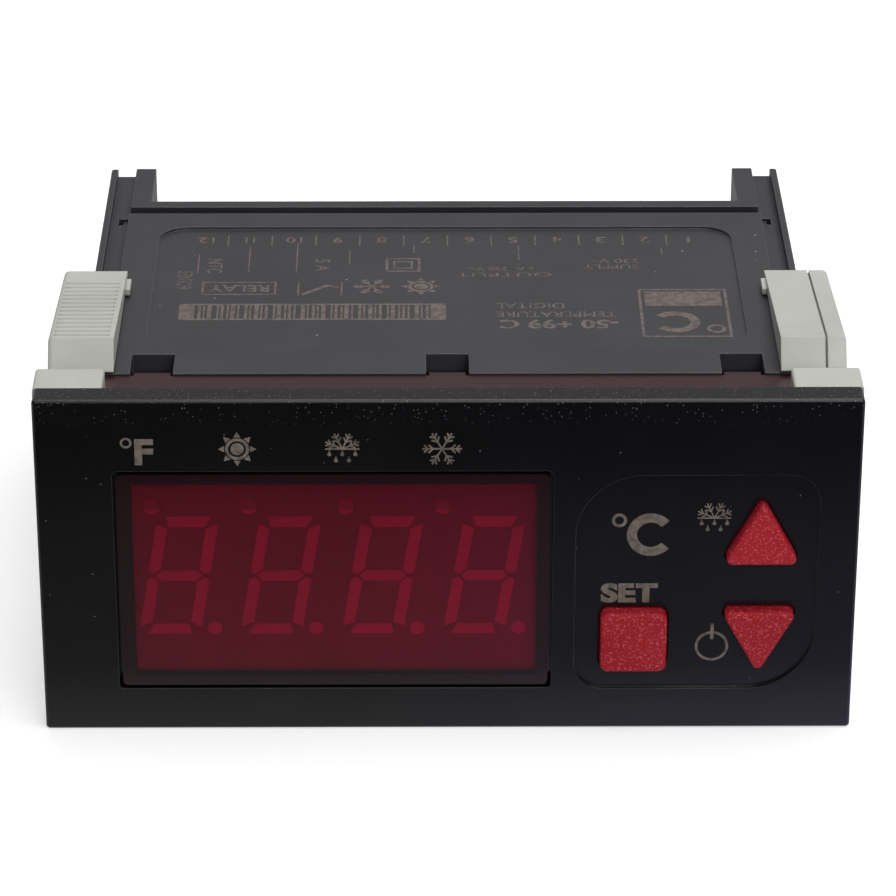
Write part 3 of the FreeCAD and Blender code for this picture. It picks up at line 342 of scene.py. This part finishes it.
colouredMouldings = {
    # keys from a coarsely sparked tool: matt red with painted pale glints on the grit and painted shade in
    # their grooves
    "redAbsCoarseSparkMoulded": (("set_button", "up_button", "down_button"), {
        "low": "#990919", "high": "#a50e20", "paintedGlint": "#c04c5a", "rough": 0.6, "grit": 0.24,
        "depth": 0.05, "edge": 0.25, "strength": 0.7, "specular": 0.3,
        "paintedShade": "#4c060e", "paintedShadeReach": 0.5, "paintedShadeShare": 0.6}),
    # unfilled polyamide of the clips: warm light grey, waxy, with painted shade in the grooves of its ribs
    # and in inner corners
    "greyPolyamideMoulded": (("left_clip", "right_clip"), {
        "low": "#b7b8b1", "high": "#c0c1ba", "rough": 0.42, "grit": 0.35, "depth": 0.008, "edge": 0.2,
        "paintedShade": "#6a6b64", "paintedShadeReach": 0.6, "paintedShadeShare": 0.6}),
    # the display's face is printed grey, matt
    "greyInkOnDisplay": (("display_mask",), {
        "low": "#a5999b", "high": "#ab9fa1", "rough": 0.6, "grit": 0.2, "depth": 0.003}),
    # its bars are cast in milky epoxy; the four round lights above them are thinner and greyer
    "milkyEpoxyCast": (("display_diffuser",), {
        "low": "#f0e8e0", "high": "#f6eee6", "rough": 0.45, "grit": 0.4, "depth": 0.002,
        "upper": "#c2b4b2", "upperFrom": 5.5, "upperTo": 5.6}),
    # solder mask over copper tracks: glossy green with paler lines
    "greenSolderMask": (("display_board", "main_board"), {
        "low": "#17402a", "high": "#1f5236", "rough": 0.3, "grit": 0.6, "depth": 0.01,
        "stripe": 1.27, "stripeAxis": "X", "stripeShare": 0.6, "stripeColour": "#3a7a4c"}),
    # overlapping turns of polyester tape round the winding
    "yellowPolyesterTape": (("transformer_winding",), {
        "low": "#c39a2c", "high": "#d3aa3a", "rough": 0.35, "grit": 1.2, "depth": 0.05,
        "stripe": 3.0, "stripeAxis": "Z", "stripeShare": 0.5, "stripeColour": "#8f6c18"}),
    # the relay's moulded case: one flat blue with a soft shine
    "bluePolyesterRelayCase": (("output_relay",), {
        "low": "#20457f", "high": "#25508f", "rough": 0.35, "grit": 0.2, "depth": 0.005}),
    # the varistor's dipped coat: thick and glossy, a little uneven
    "blueEpoxyDipped": (("surge_varistor",), {
        "low": "#1d3f86", "high": "#254b96", "rough": 0.3, "grit": 0.5, "depth": 0.02}),
}
for family in (blackMouldings, colouredMouldings):
    for name, (members, look) in family.items():
        dress(members, plastic(name, look))


# how the skin of both metals clouds, scatters and waves; depth in mm
metalSkin = {"cloudFrom": 0.5, "cloudTo": 0.95, "smoother": 0.1, "rougher": 0.12, "strength": 0.4,
             "depth": 0.01}


def metal(name, look):
    # plated or bare sheet: a cloudy tone and roughness and, on a stack, the lines between its sheets
    material, tree, shader, place = newMaterial(name, {"Metallic": 1.0})
    cloud = addNode(tree, "TexNoise", {"Vector": place, "Scale": perMm(look["cloud"]),
                                       "Detail": 4}).outputs["Fac"]
    colour = addNode(tree, "ValToRGB", {0: cloud},
                     stops=((metalSkin["cloudFrom"], look["colour"]),
                            (metalSkin["cloudTo"], look["dull"]))).outputs[0]
    if "sheet" in look:
        lines = addNode(tree, "TexWave", {"Vector": place, "Scale": bandsPerMm(look["sheet"])},
                        bands_direction="X")
        colour = addNode(tree, "MixRGB", {0: lines.outputs["Fac"], 1: colour,
                                          2: hexColour(look["gap"])}).outputs[0]
    tree.links.new(colour, shader.inputs["Base Color"])
    spread = addNode(tree, "MapRange", {"Value": cloud, "To Min": look["rough"] - metalSkin["smoother"],
                                        "To Max": look["rough"] + metalSkin["rougher"]})
    tree.links.new(spread.outputs[0], shader.inputs["Roughness"])
    bump = addNode(tree, "Bump", {"Height": cloud, "Strength": metalSkin["strength"],
                                  "Distance": metalSkin["depth"] * mm})
    tree.links.new(bump.outputs[0], shader.inputs["Normal"])
    return material


metals = {
    # zinc of the cages and screws, clouded by its passivation, so its shine is broad and soft
    "zincPlatedSteel": (("terminal_cages", "terminal_screws"), {
        "colour": "#a8a7a1", "dull": "#7d7d7a", "rough": 0.5, "cloud": 0.3}),
    # stamped silicon steel: the gaps of the stack show as fine dark lines, at twice the pitch of real sheets
    "siliconSteelLaminations": (("transformer_core",), {
        "colour": "#7d7e82", "dull": "#5e5f62", "rough": 0.4, "cloud": 0.35, "sheet": 1.0, "gap": "#34353a"}),
}
for name, (members, look) in metals.items():
    dress(members, metal(name, look))

# one red moulding: polished and clear over the display, blacked round that field, satin on the collar behind
window = {
    "clear": "#f62c8c", "border": "#20080e", "collar": "#380d18", "ior": 1.585,
    "dullClear": 0.3,                        # how much the border and the collar let through
    "field": ((-29.66, 8.37), (-11.58, 8.9)),    # the clear field in mm, across and up
    "front": -0.5,                           # mm: behind this it is the collar
    "polish": 0.05, "satin": 0.34, "haze": 0.06, "hazePatch": 3,
}


def redWindow():
    # injection-moulded tinted polycarbonate: deep and glassy
    material, tree, shader, place = newMaterial("redPolycarbonatePolished", {
        "IOR": window["ior"], "Transmission Weight": 1.0})
    where = addNode(tree, "SeparateXYZ", {0: place})
    masks = []
    for axis, (low, high) in zip("XZ", window["field"]):
        masks.append(addNode(tree, "Math", {0: where.outputs[axis], 1: (low + high) / 2 * mm,
                                            2: (high - low) / 2 * mm}, operation="COMPARE").outputs[0])
    field = addNode(tree, "Math", {0: masks[0], 1: masks[1]}, operation="MULTIPLY")
    front = addNode(tree, "Math", {0: where.outputs["Y"], 1: window["front"] * mm}, operation="LESS_THAN")
    cloud = addNode(tree, "TexNoise", {"Vector": place, "Scale": perMm(window["hazePatch"]),
                                       "Detail": 4}).outputs["Fac"]
    pane = addNode(tree, "MixRGB", {0: field.outputs[0], 1: hexColour(window["border"]),
                                    2: hexColour(window["clear"])})
    tint = addNode(tree, "MixRGB", {0: front.outputs[0], 1: hexColour(window["collar"]), 2: pane.outputs[0]})
    tree.links.new(tint.outputs[0], shader.inputs["Base Color"])
    gloss = addNode(tree, "MapRange", {"Value": front.outputs[0], "To Min": window["satin"],
                                       "To Max": window["polish"]})
    haze = addNode(tree, "Math", {0: cloud, 1: window["haze"], 2: gloss.outputs[0]}, operation="MULTIPLY_ADD")
    tree.links.new(haze.outputs[0], shader.inputs["Roughness"])
    clear = addNode(tree, "Math", {0: front.outputs[0], 1: field.outputs[0]}, operation="MULTIPLY")
    through = addNode(tree, "MapRange", {"Value": clear.outputs[0], "To Min": window["dullClear"]})
    tree.links.new(through.outputs[0], shader.inputs["Transmission Weight"])
    return material


dress(("window_moulding",), redWindow())
print("materials dressed")


def bar(x, y, long, wide, turn=0):
    # a straight stroke, flat on the sheet, centred on x, y and turned by some degrees
    bpy.ops.mesh.primitive_plane_add(size=1, location=(x * mm, y * mm, 0),
                                     rotation=(0, 0, math.radians(turn)))
    bpy.context.object.scale = (long * mm, wide * mm, 1)
    return bpy.context.object


def line(start, end, wide):
    across, up = end[0] - start[0], end[1] - start[1]
    return bar((start[0] + end[0]) / 2, (start[1] + end[1]) / 2, math.hypot(across, up), wide,
               math.degrees(math.atan2(up, across)))


def disc(x, y, radius, corners=24, turn=0):
    bpy.ops.mesh.primitive_circle_add(vertices=corners, radius=radius * mm, fill_type="NGON",
                                      location=(x * mm, y * mm, 0), rotation=(0, 0, math.radians(turn)))
    return bpy.context.object


def ring(x, y, radius, wide, corners=40):
    # a disc whose middle is inset and taken out
    shape = disc(x, y, radius, corners)
    bpy.ops.object.mode_set(mode="EDIT")
    bpy.ops.mesh.select_all(action="SELECT")
    bpy.ops.mesh.inset(thickness=wide * mm)
    bpy.ops.mesh.delete(type="FACE")
    bpy.ops.object.mode_set(mode="OBJECT")
    return shape


def openRing(x, y, radius, wide, gap):
    # a ring that is open to the right over some degrees above and below, like a bold letter C
    shape = ring(x, y, radius, wide, 72)
    bpy.ops.object.mode_set(mode="EDIT")
    bpy.ops.mesh.select_all(action="DESELECT")
    bpy.ops.object.mode_set(mode="OBJECT")
    for face in shape.data.polygons:
        face.select = abs(math.degrees(math.atan2(face.center.y, face.center.x))) < gap
    bpy.ops.object.mode_set(mode="EDIT")
    bpy.ops.mesh.select_mode(type="FACE")
    bpy.ops.mesh.delete(type="FACE")
    bpy.ops.object.mode_set(mode="OBJECT")
    return shape


def frameOf(x, y, wide, tall, stroke):
    # four strokes round a rectangle
    flat = [bar(x, y + way * (tall - stroke) / 2, wide, stroke) for way in (-1, 1)]
    upright = [bar(x + way * (wide - stroke) / 2, y, stroke, tall - 2 * stroke) for way in (-1, 1)]
    return flat + upright


def drop(x, y, radius):
    # a disc whose top corner is drawn up to a point
    shape = disc(x, y, radius, 12)
    tip = max(shape.data.vertices, key=lambda corner: corner.co.y)
    tip.co.y += 1.5 * radius * mm
    return shape


def word(text, x, y, wide, tall, bold, turn=0):
    # letters from the built-in face, stretched to the width and height they have here
    bpy.ops.object.text_add()
    bpy.context.object.data.body = text
    bpy.context.object.data.offset = bold
    bpy.context.object.data.resolution_u = 4
    bpy.ops.object.convert(target="MESH")
    letters = bpy.context.object
    low = [min(corner.co[axis] for corner in letters.data.vertices) for axis in (0, 1)]
    high = [max(corner.co[axis] for corner in letters.data.vertices) for axis in (0, 1)]
    middle = Vector(((low[0] + high[0]) / 2, (low[1] + high[1]) / 2, 0))
    fit = Matrix.Diagonal((wide * mm / (high[0] - low[0]), tall * mm / (high[1] - low[1]), 1, 1))
    place = Matrix.Translation((x * mm, y * mm, 0)) @ Matrix.Rotation(math.radians(turn), 4, "Z")
    letters.data.transform(place @ fit @ Matrix.Translation(-middle))
    return letters


# proportions of the signs, as shares of each sign's radius
signShapes = {
    "twigs": ((0.45, 0.32), (0.7, 0.28)), "twigTurn": 45,               # root on the arm, and length
    "rays": 8, "rayRoot": 0.80, "raySize": 0.22, "rim": 0.64, "rimWide": 0.17, "core": 0.36,
    "halfArms": (25, 65, 115, 155), "halfArmLong": 1.08, "dropSize": 0.12,
    "drops": ((-0.75, 0.35), (0, 0.35), (0.75, 0.35), (-0.38, 0.75), (0.38, 0.75)),    # across, down
}


def snowArms(x, y, radius, turns, wide):
    # arms of a snow crystal, each with two pairs of short branches
    strokes = []
    for turn in turns:
        way = Vector((math.cos(math.radians(turn)), math.sin(math.radians(turn))))
        strokes.append(line((x, y), (x + way.x * radius, y + way.y * radius), wide))
        for root, reach in signShapes["twigs"]:
            for lean in (-signShapes["twigTurn"], signShapes["twigTurn"]):
                twig = Vector((math.cos(math.radians(turn + lean)), math.sin(math.radians(turn + lean))))
                start = (x + way.x * radius * root, y + way.y * radius * root)
                strokes.append(line(start, (start[0] + twig.x * radius * reach,
                                            start[1] + twig.y * radius * reach), wide))
    return strokes


def sunSign(x, y, radius):
    # triangles round a ring with a disc in it
    rays = []
    step = 360 / signShapes["rays"]
    root = signShapes["rayRoot"] * radius
    for number in range(signShapes["rays"]):
        turn = math.radians(step * number)
        rays.append(disc(x + root * math.cos(turn), y + root * math.sin(turn),
                         signShapes["raySize"] * radius, 3, step * number - 90))
    return rays + [ring(x, y, signShapes["rim"] * radius, signShapes["rimWide"] * radius),
                   disc(x, y, signShapes["core"] * radius)]


def defrostSign(x, y, radius, wide):
    # half a snow crystal over a line, with drops below
    drops = [drop(x + across * radius, y - down * radius, signShapes["dropSize"] * radius)
             for across, down in signShapes["drops"]]
    level = bar(x, y, 2 * radius, wide)
    arms = snowArms(x, y, signShapes["halfArmLong"] * radius, signShapes["halfArms"], wide)
    return [level] + arms + drops


# the ink lies a hair over its face; each stroke lies a step over the one before it, and after some steps the
# height starts again, so that strokes that cross don't share a plane; all in mm
inkLayer = {"thick": 0.02, "step": 0.001, "steps": 7, "coat": 0.6, "relief": 0.01, "rough": 0.55,
            "face": -2.71, "keypad": -2.36, "top": 14.01}


def printed(name, shapes, place, material):
    # one print: its shapes joined, given a thin layer of ink and laid on the case
    bpy.ops.object.select_all(action="DESELECT")
    for number, shape in enumerate(shapes):
        shape.location.z += number % inkLayer["steps"] * inkLayer["step"] * mm
        shape.select_set(True)
    bpy.context.view_layer.objects.active = shapes[0]
    bpy.ops.object.join()
    bpy.ops.object.transform_apply(location=True, rotation=True, scale=True)
    piece = bpy.context.object
    piece.name = name
    piece.data.transform(place)
    layer = piece.modifiers.new("ink", "SOLIDIFY")
    layer.thickness = inkLayer["thick"] * mm
    bpy.ops.object.modifier_apply(modifier=layer.name)
    # letters come smooth, and so thin a layer would shade like a rounded one
    bpy.ops.object.shade_flat()
    piece.data.materials.clear()
    piece.data.materials.append(material)
    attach(piece, "case")


def ink(name, thin, full):
    # pad-printed ink: the case shows through where the coat is thin
    material, tree, shader, place = newMaterial(name, {"Roughness": inkLayer["rough"]})
    coat = addNode(tree, "TexNoise", {"Vector": place, "Scale": perMm(inkLayer["coat"]),
                                      "Detail": 4}).outputs["Fac"]
    tone = addNode(tree, "ValToRGB", {0: coat}, stops=((0.3, thin), (0.6, full)))
    tree.links.new(tone.outputs[0], shader.inputs["Base Color"])
    grain = addNode(tree, "Bump", {"Height": coat, "Strength": 0.3, "Distance": inkLayer["relief"] * mm})
    tree.links.new(grain.outputs[0], shader.inputs["Normal"])
    return material


bpy.ops.object.select_all(action="DESELECT")
faceInk = ink("beigePadPrintedInk", "#4e463f", "#766a60")
topInk = ink("greyBeigePadPrintedInk", "#4d4442", "#6d625d")
upright = Matrix.Rotation(math.radians(90), 4, "X")
onFace = Matrix.Translation((0, inkLayer["face"] * mm, 0)) @ upright
onKeypad = Matrix.Translation((0, inkLayer["keypad"] * mm, 0)) @ upright
onTop = Matrix.Translation((0, 0, inkLayer["top"] * mm)) @ Matrix.Rotation(math.radians(180), 4, "Z")

# signs over the four round indicators: a Fahrenheit mark, heating, defrosting and cooling.
# Lengths in mm: rings are across, up, radius, stroke; words are across, up, wide, tall, bold
faceSigns = {
    "degree": (-29.9, 13.15, 0.55, 0.22), "letter": (-28.25, 12.2, 1.75, 2.7, 0.04),
    "row": 12.5,
    "sun": {"across": -19.6, "radius": 1.75},
    "defrost": {"across": -9.85, "radius": 1.6, "stroke": 0.16},
    "snow": {"across": -0.6, "radius": 1.85, "stroke": 0.17},
}
snowTurns = range(0, 360, 60)
row, sun, defrost, snow = (faceSigns[part] for part in ("row", "sun", "defrost", "snow"))
signs = [ring(*faceSigns["degree"]), word("F", *faceSigns["letter"])]
signs += sunSign(sun["across"], row, sun["radius"])
signs += defrostSign(defrost["across"], row, defrost["radius"], defrost["stroke"])
signs += snowArms(snow["across"], row, snow["radius"], snowTurns, snow["stroke"])
printed("front_print", signs, onFace, faceInk)

keypadSigns = {
    "degree": (16.03, 4.78, 0.72, 0.3), "celsius": (19.0, 3.25, 2.25, 0.95, 42),      # the last is its gap
    "set": (17.1, -2.96, 5.4, 2.1, 0.05), "defrost": (24.93, 5.0, 1.6, 0.13),
    "power": (25.05, -8.73, 1.6, 0.26), "powerBar": (25.05, -7.13, 0.312, 1.7),
}
signs = [ring(*keypadSigns["degree"]), openRing(*keypadSigns["celsius"])]
signs += [word("SET", *keypadSigns["set"])]
signs += defrostSign(*keypadSigns["defrost"])
signs += [ring(*keypadSigns["power"]), bar(*keypadSigns["powerBar"])]
printed("keypad_print", signs, onKeypad, faceInk)

# wiring print on the top, read from the rear: across and up on its own sheet, in mm.
# Words are text, across, up, wide, tall, bold, turn; bars are across, up, long, wide
wiring = {
    "firstNumber": -24.77, "numberPitch": 4.465, "numberUp": -41.6, "numberTall": 1.4, "numberBold": 0.01,
    "digitWide": 1.0, "oneWide": 0.3, "digitGap": 0.35,
    "tickUp": -41.45, "tickWide": 0.15, "tickTall": 2.5,
    "leadWide": 0.13,
    "leads": ((24.9, -38.0, -33.5), (19.8, -39.9, -33.8), (15.0, -40.7, -33.5), (9.7, -39.1, -35.7),
              (3.2, -40.2, -38.4), (-7.4, -40.2, -36.2), (-21.9, -39.6, -37.6)),      # across, from, to
    "words": (("OUTPUT", -5.8, -33.0, 9.6, 0.9, 0, 0), ("5 A  250 V~", -5.6, -34.4, 6.6, 0.9, 0, 0),
              ("SUPPLY", -16.6, -34.9, 5.6, 1.0, 0, 0), ("230 V~", -17.0, -36.3, 5.0, 1.0, 0, 0),
              ("SENSOR", 26.1, -31.7, 4.4, 1.5, 0, 90), ("NTC", 23.2, -35.2, 3.4, 1.5, 0, 90),
              ("5 A", 12.4, -35.4, 2.8, 1.5, 0, 90),
              ("TEMPERATURE", -10.8, -23.6, 11.8, 1.25, 0, 0), ("DIGITAL", -8.2, -25.6, 6.8, 1.25, 0, 0),
              ("-50 +99 C", -11.0, -21.3, 11.6, 2.1, 0.03, 0)),
    "strip": (0.06, 26.3, -26.14, -22.31),     # left, right, low, high
    "stripEdge": 0.35, "edgeAt": 0.17, "stripEnd": 1.5,
    "gaps": (0.18, 0.3, 0.18, 0.5, 0.24), "strokes": (0.3, 0.2, 0.42, 0.2), "mostStrokes": 44,
    "box": (20.6, -29.8, 7.4, 3.1, 0.2), "boxed": ("RELAY", 20.6, -29.8, 6.0, 1.6, 0.02),
    "contactPosts": ((14.7, -29.7, 0.15, 3.4), (10.4, -29.7, 0.15, 3.4)),
    "contactArm": (((14.3, -28.3), (11.8, -30.5), 0.45), ((11.8, -30.5), (10.7, -29.9), 0.3)),
    "squares": ((4.3, -35.4, 3.5, 3.3, 0.28), (4.3, -35.4, 2.0, 1.9, 0.25)),
    "snow": (7.4, -30.2, 1.9), "snowStroke": 0.22, "sun": (2.5, -30.2, 2.0),
    "panel": (-23.4, -23.9, 8.8, 11.2, 0.3), "panelField": (-23.4, -27.2, 7.6, 3.4),
    "panelLetter": (-22.4, -21.8, 2.4, 0.95, 42), "panelDegree": (-26.3, -20.2, 0.95, 0.35),
}
signs = []
for number in range(12):
    across = wiring["firstNumber"] + number * wiring["numberPitch"]
    text = str(number + 1)
    wide = sum(wiring["oneWide"] if digit == "1" else wiring["digitWide"] for digit in text)
    wide += wiring["digitGap"] * (len(text) - 1)
    signs.append(word(text, across, wiring["numberUp"], wide, wiring["numberTall"], wiring["numberBold"]))
    if number:
        signs.append(bar(across - wiring["numberPitch"] / 2, wiring["tickUp"],
                         wiring["tickWide"], wiring["tickTall"]))
for across, low, high in wiring["leads"]:
    signs.append(bar(across, (low + high) / 2, wiring["leadWide"], high - low))
signs += [word(*entry) for entry in wiring["words"]]

# a strip of upright strokes between two thin edges and two wider ends
left, right, low, high = wiring["strip"]
edge, edgeAt, end = wiring["stripEdge"], wiring["edgeAt"], wiring["stripEnd"]
middle, tall = (low + high) / 2, high - low - 2 * edge
signs += [bar((left + right) / 2, up, right - left, edge) for up in (low + edgeAt, high - edgeAt)]
signs += [bar(across, middle, end, tall) for across in (left + end / 2, right - end / 2)]
across = left + end
for number in range(wiring["mostStrokes"]):
    gap = wiring["gaps"][number % len(wiring["gaps"])]
    stroke = wiring["strokes"][number % len(wiring["strokes"])]
    if across + gap + stroke > right - end:
        break
    signs.append(bar(across + gap + stroke / 2, middle, stroke, tall))
    across += gap + stroke

# a boxed word, a contact, the double square of double insulation, and cooling and heating signs
signs += frameOf(*wiring["box"]) + [word(*wiring["boxed"])]
signs += [bar(*post) for post in wiring["contactPosts"]] + [line(*part) for part in wiring["contactArm"]]
for square in wiring["squares"]:
    signs += frameOf(*square)
signs += snowArms(*wiring["snow"], snowTurns, wiring["snowStroke"]) + sunSign(*wiring["sun"])

# a panel with a bare field and the temperature mark
signs += frameOf(*wiring["panel"]) + [bar(*wiring["panelField"])]
signs += [openRing(*wiring["panelLetter"]), ring(*wiring["panelDegree"])]
printed("wiring_print", signs, onTop, topInk)
print("prints laid")
